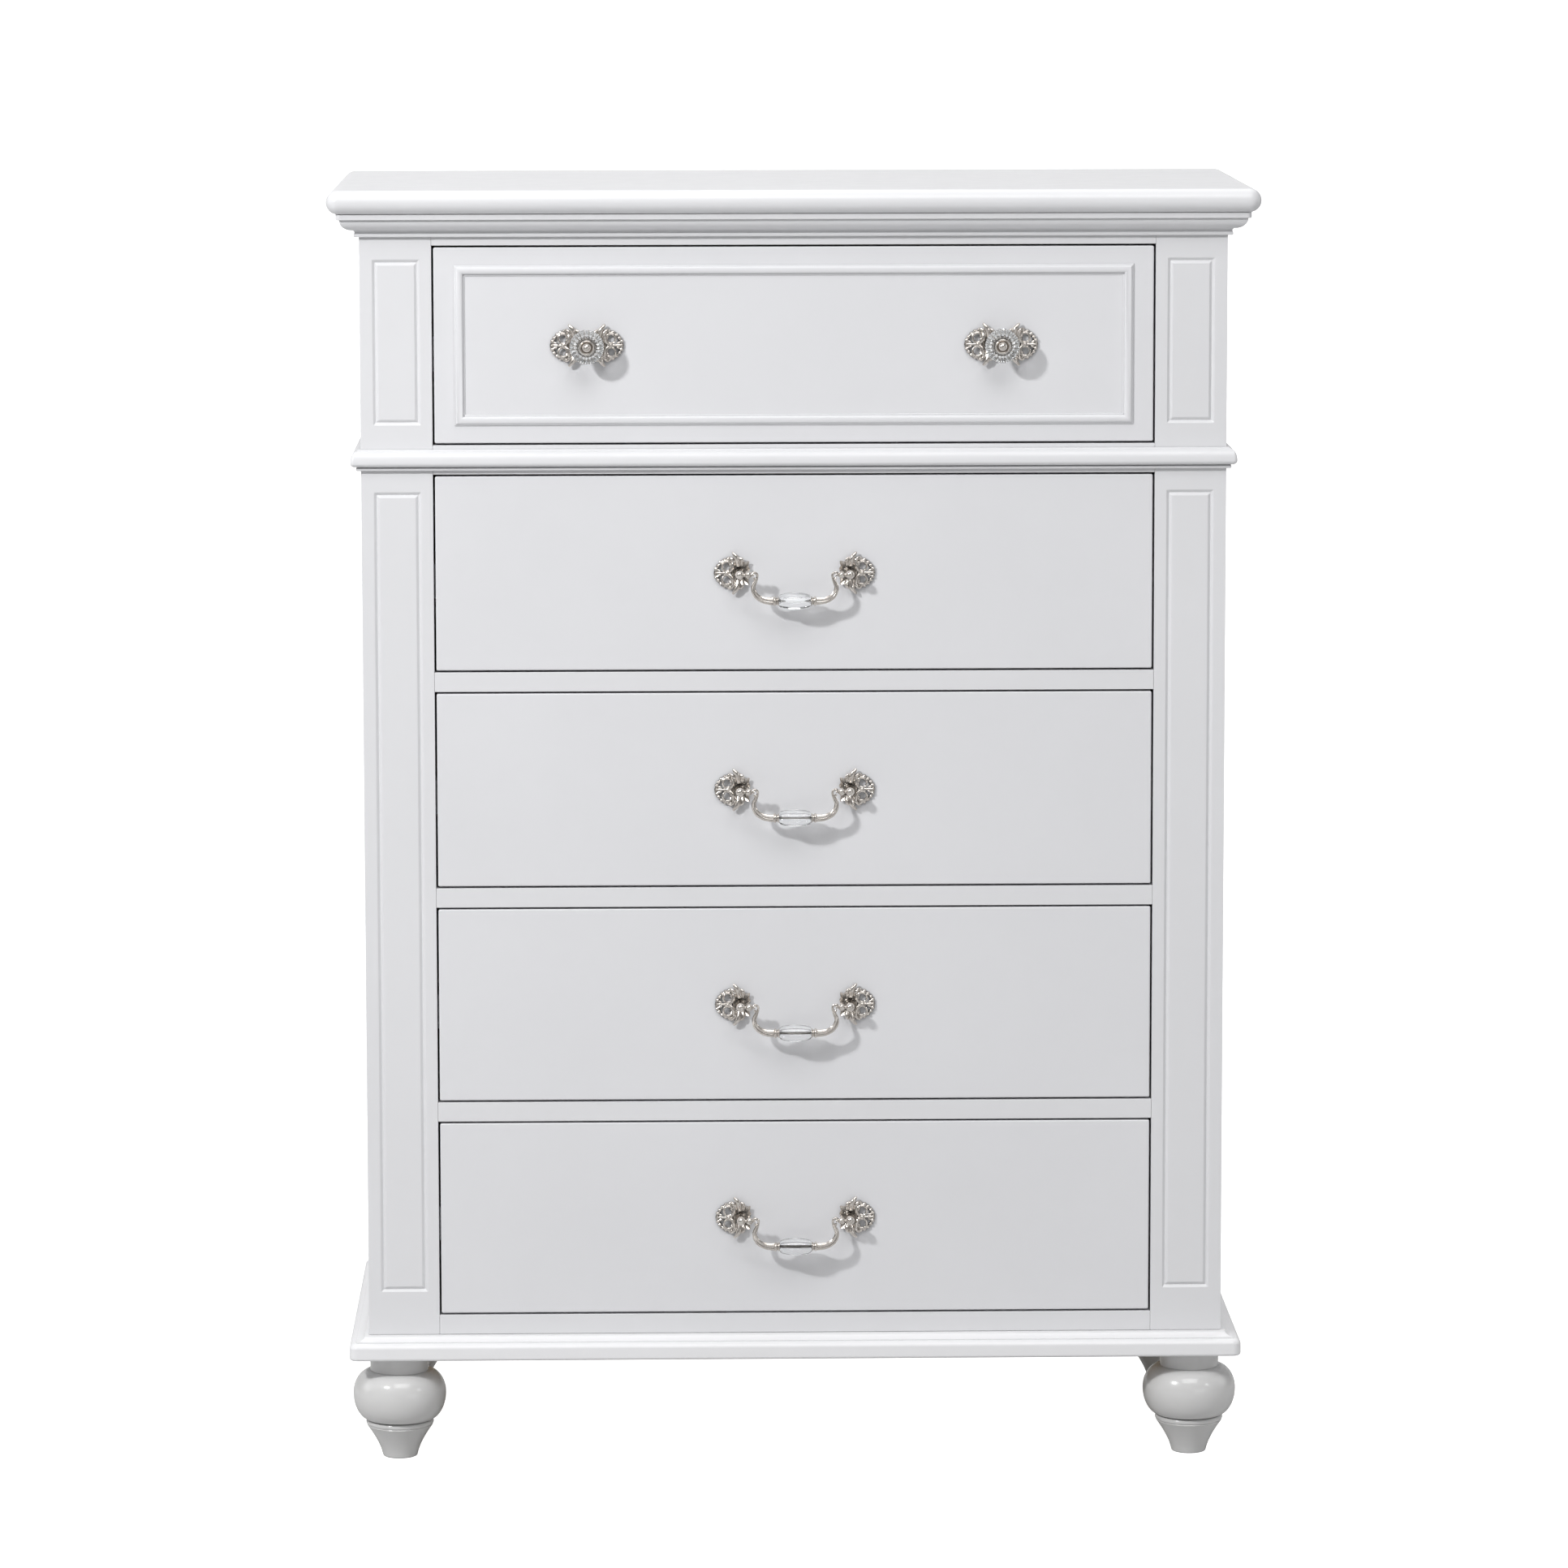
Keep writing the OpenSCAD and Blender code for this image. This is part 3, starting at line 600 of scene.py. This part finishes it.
def rosette_shells():
    """Openwork palmette plate for one post, outward along +X, front towards -Y."""
    foot = [(0, 0), (7.0, 0), (7.2, 1.2), (6.4, 2.3), (5.4, 3.0), (4.6, 4.6), (3.8, 6.0), (0, 6.2)]
    parts = [dish(), lathe(foot, axis="-Y", steps=40)]
    for side in (-1, 1):
        parts.append(scroll(side))
        rim = curve_points([(6.4, -1.8, 13.2 * side), (10.8, -1.8, 13.9 * side), (15.8, -1.8, 12.3 * side),
                            (20.2, -1.8, 8.6 * side), (23.0, -1.8, 4.4 * side), (25.0, -1.8, 0.6 * side)], 4)
        parts.append(tube(rim, [1.7 - 0.03 * i for i in range(len(rim))], 12))
        for i in range(1, len(rim) - 2, 3):
            along = (rim[i + 1] - rim[i - 1]).normalized()
            out = Vector((-along.z, 0, along.x)) * -side
            if out.x < 0:
                out = -out
            root = rim[i] - out * 1.2 + Vector((0, -0.9, 0))
            parts.append(lobe(root, rim[i] + out * 2.4 + along * 0.9, 1.5))
        rise = curve_points([(5.0, -3.4, 14.5 * side), (6.6, -4.6, 10.0 * side), (7.0, -5.0, 6.0 * side),
                             (8.6, -4.4, 2.6 * side), (11.4, -3.4, 0.9 * side)], 5)
        swell = [0.9 + 0.75 * math.sin(math.pi * (i + 2) / 24) for i in range(len(rise))]
        parts.append(tube(rise, swell, 12))
        for claw, r in CLAWS:
            line = curve_points([(u, y, v * side) for u, y, v in claw], 6)
            last = len(line) - 1
            parts.append(tube(line, [r * (1.0 - 0.56 * (i / last) ** 2.6) for i in range(last + 1)], 14))
            parts.append(ball(line[-1], r * 0.5, 8))
    midrib = [1.9, 1.5, 1.3, 1.3, 1.5, 1.6, 1.4, 1.2, 1.0]
    parts.append(tube([(8.5 + 1.5 * i, -2.6, 0) for i in range(len(midrib))], midrib, 12))
    parts.append(ball((12.6, -3.8, 0), 1.9, 8))
    for lift in (-3.6, 0, 3.6):
        parts.append(lobe((18.5, -2.8, lift * 0.5), (26.2 - abs(lift) * 0.75, -1.5, lift), 1.5))
    return parts


def cast_together(parts, voxel, budget):
    """Fuses overlapping shells into one soft-edged casting, back in millimetres as (verts, faces)."""
    mesh = build_mesh("casting", gather(*parts))
    blank = bpy.data.objects.new("casting", mesh)
    bpy.context.scene.collection.objects.link(blank)
    fuse = blank.modifiers.new("fuse", "REMESH")
    fuse.mode, fuse.voxel_size = "VOXEL", voxel * MM
    soften = blank.modifiers.new("soften", "SMOOTH")
    soften.factor, soften.iterations = 0.5, 2
    thin = blank.modifiers.new("thin", "DECIMATE")
    bpy.context.view_layer.update()
    graph = bpy.context.evaluated_depsgraph_get()
    thin.ratio = 1.0
    full = len(blank.evaluated_get(graph).data.polygons) * 2
    thin.ratio = min(1.0, budget / full)
    graph.update()
    cast = blank.evaluated_get(graph).data
    verts = [tuple(v.co / MM) for v in cast.vertices]
    faces = [tuple(p.vertices) for p in cast.polygons]
    bpy.data.objects.remove(blank)
    return verts, faces


def on_back(shell):
    """Keeps a casting's back flat on the drawer front."""
    verts, faces = shell
    return [(x, min(y, 0.0), z) for x, y, z in verts], faces


def shifted(shell, du=0.0, mirror=1):
    """A shell moved outwards along X, then mirrored where mirror is -1."""
    verts, faces = shell
    return [(mirror * (x + du), y, z) for x, y, z in verts], faces


def hex_nut(x, y, z):
    """Nut on the inner face of a drawer front, with the stud's rounded end."""
    corners = [TAU * k / 6 for k in range(6)]
    rings = []
    for r, depth in ((3.7, 0), (4.0, 0.3), (4.0, 2.6), (3.7, 3.0)):
        rings.append([(x + r * math.cos(a), y + depth, z + r * math.sin(a)) for a in corners])
    stud = [(2.0, -3), (2.0, 3.4), (1.6, 4.0), (0, 4.0)]
    end = lathe([(r, -h) for r, h in stud], (x, y, z), "-Y", 20)
    return gather(skin(rings), end)


def post_shell(reach):
    """Post between a plate and its ball."""
    outline = [(4.6, 4.2), (3.6, 6.5), (2.9, 9.0), (2.8, 12.0), (3.4, 13.2), (3.6, 14.0), (3.4, 14.8),
               (2.9, 15.6), (3.1, reach - 4.0), (2.6, reach - 3.0), (0, reach - 3.0)]
    return gather(lathe(outline, axis="-Y", steps=32), ball((0, -reach, 0), 4.5, 16))


def bail_arm(pivot_x, drop):
    """Right-hand arm of a bail, in the pull's own plane, from its pin to its collars."""
    parts = [tube([(41.4, 0, 0), (pivot_x, 0, 0)], [1.5, 1.5], 16), ball((47.3, 0, 0), 3.7, 14)]
    curl = curve_points([(43.6, 0, 0.4), (41.6, 0, 2.4), (38.6, 0, 1.0), (38.2, 0, -2.4), (40.6, 0, -4.4),
                         (42.0, 0, -2.6)], 8)
    parts.append(tube(curl, [1.5 - 0.5 * i / len(curl) for i in range(len(curl))], 12))
    arm = curve_points([(38.6, 0, -3.0), (40.4, 0, -7.6), (42.2, 0, -12.2), (41.6, 0, -17.2),
                        (38.2, 0, -22.2), (32.2, 0, -25.6), (26.0, 0, -drop), (21.4, 0, -drop)], 8)
    count = len(arm)
    swell = [1.6 + 2.5 * (i / count) ** 0.9 for i in range(count)]
    parts.append(tube(arm, swell, 48, 0.20, 8))
    collars = [(0, 16.4), (4.6, 16.4), (4.9, 16.7), (4.9, 17.3), (4.4, 17.8), (3.7, 18.2), (3.6, 18.9),
               (4.3, 19.3), (4.9, 19.8), (5.0, 20.5), (4.8, 21.2), (4.1, 21.7), (3.4, 22.2), (0, 22.4)]
    parts.append(shift_z(lathe([(r, x) for r, x in collars], axis="X", steps=40), -drop))
    return gather(*parts)


def shift_z(shell, dz):
    """A shell moved up by dz."""
    verts, faces = shell
    return [(x, y, z + dz) for x, y, z in verts], faces


def crystal_shell(half, drop):
    """Fluted glass barrel, bored for the bail's rod."""
    steps = 32
    outer = []
    for i in range(steps + 1):
        t = 2 * i / steps - 1
        outer.append((5.2 + 3.7 * math.sqrt(max(0.0, 1 - t * t)), half * t))
    outline = [(1.9, -half), (4.2, -half), *outer, (4.2, half), (1.9, half), (1.9, -half)]

    def flute(r, angle):
        if r < 4.3:
            return r
        return r * (1 - 0.10 * (1 - abs(math.sin(4 * angle))) ** 1.5)
    return shift_z(lathe(outline, axis="X", steps=128, radius=flute), -drop)


def pulls():
    """The bail pulls. Returns the rosette casting, which the knob plates use again."""
    rosette = on_back(cast_together(rosette_shells(), CAST_VOXEL, CAST_TRIANGLES))
    for n in LOWER_DRAWERS:
        drawer, bail_body = f"drawer_{n}", f"drawer_{n}_bail"
        rosette_node, bail_node = f"{drawer}_pull_rosettes", f"{drawer}_pull_bail"
        crystal_node = f"{drawer}_pull_crystal"
        low, high = size_mm(bail_node)
        pivot_y = (low.y + high.y) / 2
        pin_end = high.x
        front_low, front_high = size_mm(f"{drawer}_front")
        pivot_z = (front_low.z + front_high.z) / 2
        crystal_low, crystal_high = size_mm(crystal_node)
        drop = pivot_z - (crystal_low.z + crystal_high.z) / 2
        post_x = pin_end - PIN_PAST_POST
        nut_y = size_mm(rosette_node)[1].y - STUD_END
        plates = []
        for side in (-1, 1):
            plates.append(shifted(gather(rosette, post_shell(FACE_Y - pivot_y)), post_x, side))
            plates.append(hex_nut(side * post_x, nut_y - FACE_Y, 0))
        mesh = build_mesh(f"rosettes_{n}", gather(*plates), (0, FACE_Y, pivot_z), sharp=60)
        add_piece(f"{drawer}_rosette_castings", mesh, PULL_PLATE_NICKEL, drawer,
                  (rosette_node,))
        arm = bail_arm(pin_end, drop)
        rod = tube([(-17, 0, -drop), (17, 0, -drop)], [1.6, 1.6], 16)
        bail = gather(arm, shifted(arm, 0, -1), rod)
        mesh = build_mesh(f"bail_{n}", bail, (0, pivot_y, pivot_z), sharp=50)
        add_piece(f"{drawer}_bail_casting", mesh, NICKEL, bail_body, (bail_node,))
        barrel = crystal_shell(crystal_high.x, drop)
        mesh = build_mesh(f"crystal_{n}", barrel, (0, pivot_y, pivot_z), sharp=28)
        add_piece(f"{drawer}_cut_crystal", mesh, CRYSTAL, bail_body, (crystal_node,))
    return rosette


def knob_glass_shell(r_max):
    """Glass knob: waisted stem and a disc cut with a sunburst of rays."""
    outline = [(2.3, 6.0), (7.6, 6.0), (7.2, 8.5), (6.7, 12.0), (7.2, 15.0), (8.6, 17.6), (11.4, 20.6),
               (r_max - 1.6, 24.6), (r_max - 0.3, 26.2), (r_max, 27.2), (r_max - 0.2, 28.2),
               (r_max - 1.0, 29.2), (15.0, 30.2), (12.4, 31.6), (10.0, 32.8), (8.6, 33.3),
               (2.3, 33.3), (2.3, 6.0)]

    def cut(r, angle):
        depth = max(0.0, min(1.0, (r - 8.2) / 8.0))
        wave = abs(math.sin(KNOB_RAYS / 2 * angle))
        return r * (1 - 0.028 * depth * (1 - wave) ** 1.2)
    verts, faces = lathe(outline, axis="-Y", steps=KNOB_RAYS * 10, radius=cut)
    shaped = []
    for x, y, z in verts:
        r = math.hypot(x, z)
        wave = abs(math.sin(KNOB_RAYS / 2 * math.atan2(z, x)))
        ray = max(0.0, min(1.0, (r - 8.8) / 3.0)) * (1.0 if y < -28.5 else 0.0)
        shaped.append((x, y + 1.4 * ray * (1 - wave), z))
    return shaped, faces


def knobs(rosette):
    """The two knobs of the top drawer: a plate of two castings, a seat, the glass and a metal button."""
    low, high = size_mm("drawer_1_front")
    z = (low.z + high.z) / 2
    glass_low, glass_high = size_mm("drawer_1_knob_glass")
    r_max = (glass_high.z - glass_low.z) / 2
    knob_x = glass_high.x - r_max
    button_low, button_high = size_mm("drawer_1_knob_buttons")
    nut_y = button_high.y - STUD_END - FACE_Y
    reach = FACE_Y - button_low.y
    seat = lathe([(2.4, 0), (10.6, 0), (10.9, 1.6), (10.0, 2.8), (8.6, 3.4), (8.4, 4.8), (8.8, 5.4),
                  (8.2, 5.95), (2.4, 5.95), (2.4, 0)], axis="-Y", steps=48)
    plate = gather(shifted(rosette, 11.5), shifted(rosette, 11.5, -1))
    button = lathe([(0, 33.4), (7.4, 33.4), (7.6, 33.9), (7.6, 34.8), (7.0, 35.7), (6.3, 35.8), (5.6, 35.2),
                    (5.0, 34.4), (0, 34.2)], axis="-Y", steps=48)
    stem = lathe([(0, 33.5), (2.0, 33.5), (2.0, -30), (0, -30)], axis="-Y", steps=20)
    metal = gather(button, seat, ball((0, 4.8 - reach, 0), 4.8, 16), stem, hex_nut(0, nut_y, 0))
    for node, shell, material, slot, sharp in (
            ("drawer_1_knob_plates", plate, KNOB_PLATE_NICKEL, "antique_nickel", 60),
            ("drawer_1_knob_glass", knob_glass_shell(r_max), PRESSED_GLASS, "clear_glass", 16),
            ("drawer_1_knob_buttons", metal, FAINT_SHADE_NICKEL, "antique_nickel", 50)):
        both = gather(*[([(x + side * knob_x, y, w) for x, y, w in shell[0]], shell[1]) for side in (-1, 1)])
        mesh = build_mesh(node, both, (0, FACE_Y, z), sharp=sharp)
        add_piece(node + "_detail", mesh, material, "drawer_1", (node,))


# ---------- Boards ----------

def rounded_board(low, high, back_ease, front_ease, steps=5):
    """A board standing in the XZ plane with rounded edges, rounder towards the front."""
    quarter = [math.pi / 2 * i / steps for i in range(steps + 1)]
    stages = [(back_ease + 0.6, high.y)]
    stages += [(back_ease * (1 - math.sin(a)), high.y - back_ease * (1 - math.cos(a))) for a in quarter]
    stages += [(front_ease * (1 - math.cos(a)), low.y + front_ease * (1 - math.sin(a))) for a in quarter]
    stages.append((front_ease + 0.6, low.y))
    rings = []
    for inset, y in stages:
        r = max(front_ease + 0.3 - inset, 0.05)
        x0, x1, z0, z1 = low.x + inset, high.x - inset, low.z + inset, high.z - inset
        ring = []
        centres = ((x1 - r, z1 - r), (x0 + r, z1 - r), (x0 + r, z0 + r), (x1 - r, z0 + r))
        for corner, (cx, cz) in enumerate(centres):
            ring += [(x, y, z) for x, z in arc(cx, cz, r, r, 90 * corner, 90 * corner + 90, 4)]
        rings.append(ring)
    return skin(rings)


def bead_frame():
    """Applied bead moulding on the top drawer, mitred at its corners."""
    node = "drawer_1_moulding"
    low, high = size_mm(node)
    width, rise = 11.0, high.y - low.y
    profile = [(0.0, 0.0), (0.0, 0.9), (0.3, 1.3), (1.4, 1.6), *arc(5.3, 1.6, 3.9, rise - 1.6, 180, 0, 16),
               (9.4, 0.8), (10.5, 0.8), (width, 0.5), (width, 0.0)]
    rings = []
    for sx, sz in ((-1, -1), (1, -1), (1, 1), (-1, 1), (-1, -1)):
        x, z = (low.x if sx < 0 else high.x), (low.z if sz < 0 else high.z)
        rings.append([(x - sx * inset, high.y - out, z - sz * inset) for inset, out in profile])
    mesh = build_mesh("bead_frame", skin(rings, ends=False), sharp=30)
    add_piece("drawer_1_bead_frame", mesh, FRONT_PAINT, "drawer_1", (node,))


def drawer_fronts():
    """The five inset drawer fronts."""
    for n in range(1, 6):
        node = f"drawer_{n}_front"
        mesh = build_mesh(node, rounded_board(*size_mm(node), 0.6, 1.4), sharp=40)
        add_piece(node + "_panel", mesh, FRONT_PAINT, f"drawer_{n}", (node,))


def ease_edges(node, material, width, segments=2):
    """Gives a CAD board its finish and slightly rounded edges."""
    board = NODES[node]
    board.data.materials.clear()
    board.data.materials.append(material)
    weld = board.modifiers.new("weld", "WELD")
    weld.merge_threshold = 1e-5
    ease = board.modifiers.new("ease", "BEVEL")
    ease.width, ease.segments = width * MM, segments
    ease.limit_method, ease.angle_limit = "ANGLE", math.radians(25)
    ease.harden_normals = True


def boards():
    """Finishes for every CAD board, box, slide and bolt that stays in view."""
    for node in ("left_stile", "right_stile", "left_side_panel", "right_side_panel", "top_rail", "waist_rail",
                 "upper_divider_rail", "middle_divider_rail", "lower_divider_rail", "bottom_rail"):
        ease_edges(node, PAINT, 0.6)
    for node in ("back_panel", "base_panel"):
        ease_edges(node, PLY, 0.3, 1)
    for node in ("corner_blocks", "slide_spacers"):
        ease_edges(node, WOOD, 0.6, 1)
    for node in ("case_slides", "foot_bolts"):
        ease_edges(node, ZINC, 0.2, 1)
    for n in range(1, 6):
        ease_edges(f"drawer_{n}_box", WOOD, 0.6, 1)
        ease_edges(f"drawer_{n}_bottom", PLY, 0.3, 1)
        ease_edges(f"drawer_{n}_slides", ZINC, 0.2, 1)


# ---------- Camera, light and floor ----------

CAMERA_PLACE = (-0.153, -6.864, 1.650)
CAMERA_TURN = (90 - 7.22, 0.086, -1.23)  # Degrees about X, Y and Z.
CAMERA_LENS = 151.6  # Millimetres, on a sensor 36 mm wide.
CAMERA_SHIFT = -0.06
CHEST_FACE = (0.0, -0.18, 0.85)
# Each light: name, place, the point it is aimed at, width and height in metres, and watts.
LIGHTS = (
    ("key", (-2.23, -2.5, 2.75), CHEST_FACE, (0.24, 0.24), 79),
    ("kicker", (3.0, -2.6, 2.0), CHEST_FACE, (0.3, 0.3), 5),
    ("softbox", (0.3, -4.2, 5.8), (0.0, -0.2, 0.8), (4.0, 3.0), 144),
    ("top_fill", (0.0, 0.2, 4.0), (0, 0.2, 1.3), (3.0, 3.0), 28),
    ("left_fill", (-3.6, 0.2, 1.6), (0.0, 0.0, 0.7), (1.5, 2.0), 14),
    ("right_fill", (3.6, 0.2, 1.6), (0.0, 0.0, 0.7), (1.5, 2.0), 12),
    ("low_fill", (1.7, -3.2, 0.5), (0.1, -0.2, 0.1), (1.6, 0.8), 5),
    ("back_fill", (0.0, 3.0, 5.5), (0, 6.0, 1.5), (8.0, 2.0), 260),
)
WORLD_LIGHT = 0.22
FLOOR_GLOW = 0.95


def camera():
    """The view slightly from the left at eye height, looking down a little."""
    data = bpy.data.cameras.new("camera")
    data.lens, data.sensor_width = CAMERA_LENS, 36.0
    data.shift_y = CAMERA_SHIFT
    eye = bpy.data.objects.new("camera", data)
    eye.location = CAMERA_PLACE
    eye.rotation_euler = [math.radians(a) for a in CAMERA_TURN]
    bpy.context.scene.collection.objects.link(eye)
    bpy.context.scene.camera = eye


def area_light(name, place, aim, size, power):
    """A rectangular light that faces a point."""
    data = bpy.data.lights.new(name, "AREA")
    data.shape, data.size, data.size_y = "RECTANGLE", size[0], size[1]
    data.energy = power
    lamp = bpy.data.objects.new(name, data)
    lamp.location = place
    lamp.rotation_euler = (Vector(aim) - Vector(place)).to_track_quat("-Z", "Y").to_euler()
    bpy.context.scene.collection.objects.link(lamp)


def studio():
    """Even white surroundings and the studio lights."""
    world = bpy.data.worlds.new("studio")
    world.use_nodes = True
    background = world.node_tree.nodes["Background"]
    background.inputs["Color"].default_value = (1.0, 1.0, 1.0, 1.0)
    background.inputs["Strength"].default_value = WORLD_LIGHT
    bpy.context.scene.world = world
    bpy.context.scene.view_settings.view_transform = "Standard"
    for light in LIGHTS:
        area_light(*light)


def floor():
    """Pale floor that curves up into a backdrop."""
    bend, back, height, half, front = 2.0, 4.0, 9.0, 14.0, -14.0
    outline = [(front, 0.0), (back, 0.0)]
    rise = [math.pi / 2 * i / 12 for i in range(1, 13)]
    outline += [(back + bend * math.sin(a), bend - bend * math.cos(a)) for a in rise]
    outline.append((back + bend, height))
    verts = [(x, y, z + CAD_BOX[0].z) for x in (-half, half) for y, z in outline]
    count = len(outline)
    mesh = bpy.data.meshes.new("floor")
    mesh.from_pydata(verts, [], [(i, i + 1, count + i + 1, count + i) for i in range(count - 1)])
    mesh.shade_smooth()
    stage = bpy.data.objects.new("floor", mesh)
    bpy.context.scene.collection.objects.link(stage)
    mat, shader, add, join = new_material("pale_floor")
    tone = object_noise(add, join, 1.5, 2.0)
    join(ramp(add, join, tone, [(0.3, 0.49), (0.7, 0.51)]), shader.inputs["Base Color"])
    shader.inputs["Roughness"].default_value = 0.8
    shader.inputs["Emission Color"].default_value = (1.0, 1.0, 1.0, 1.0)
    glow = add("Math", operation="MULTIPLY")
    glow.inputs[1].default_value = FLOOR_GLOW
    join(add("LightPath").outputs["Is Camera Ray"], glow.inputs[0])
    join(glow.outputs[0], shader.inputs["Emission Strength"])
    mesh.materials.append(mat)


camera()
studio()
floor()
top_board(*size_mm("top_panel"))
crown(*size_mm("crown_moulding"))
waist(*size_mm("waist_moulding"))
base(*size_mm("base_moulding"))
feet()
boards()
drawer_fronts()
bead_frame()
knobs(pulls())
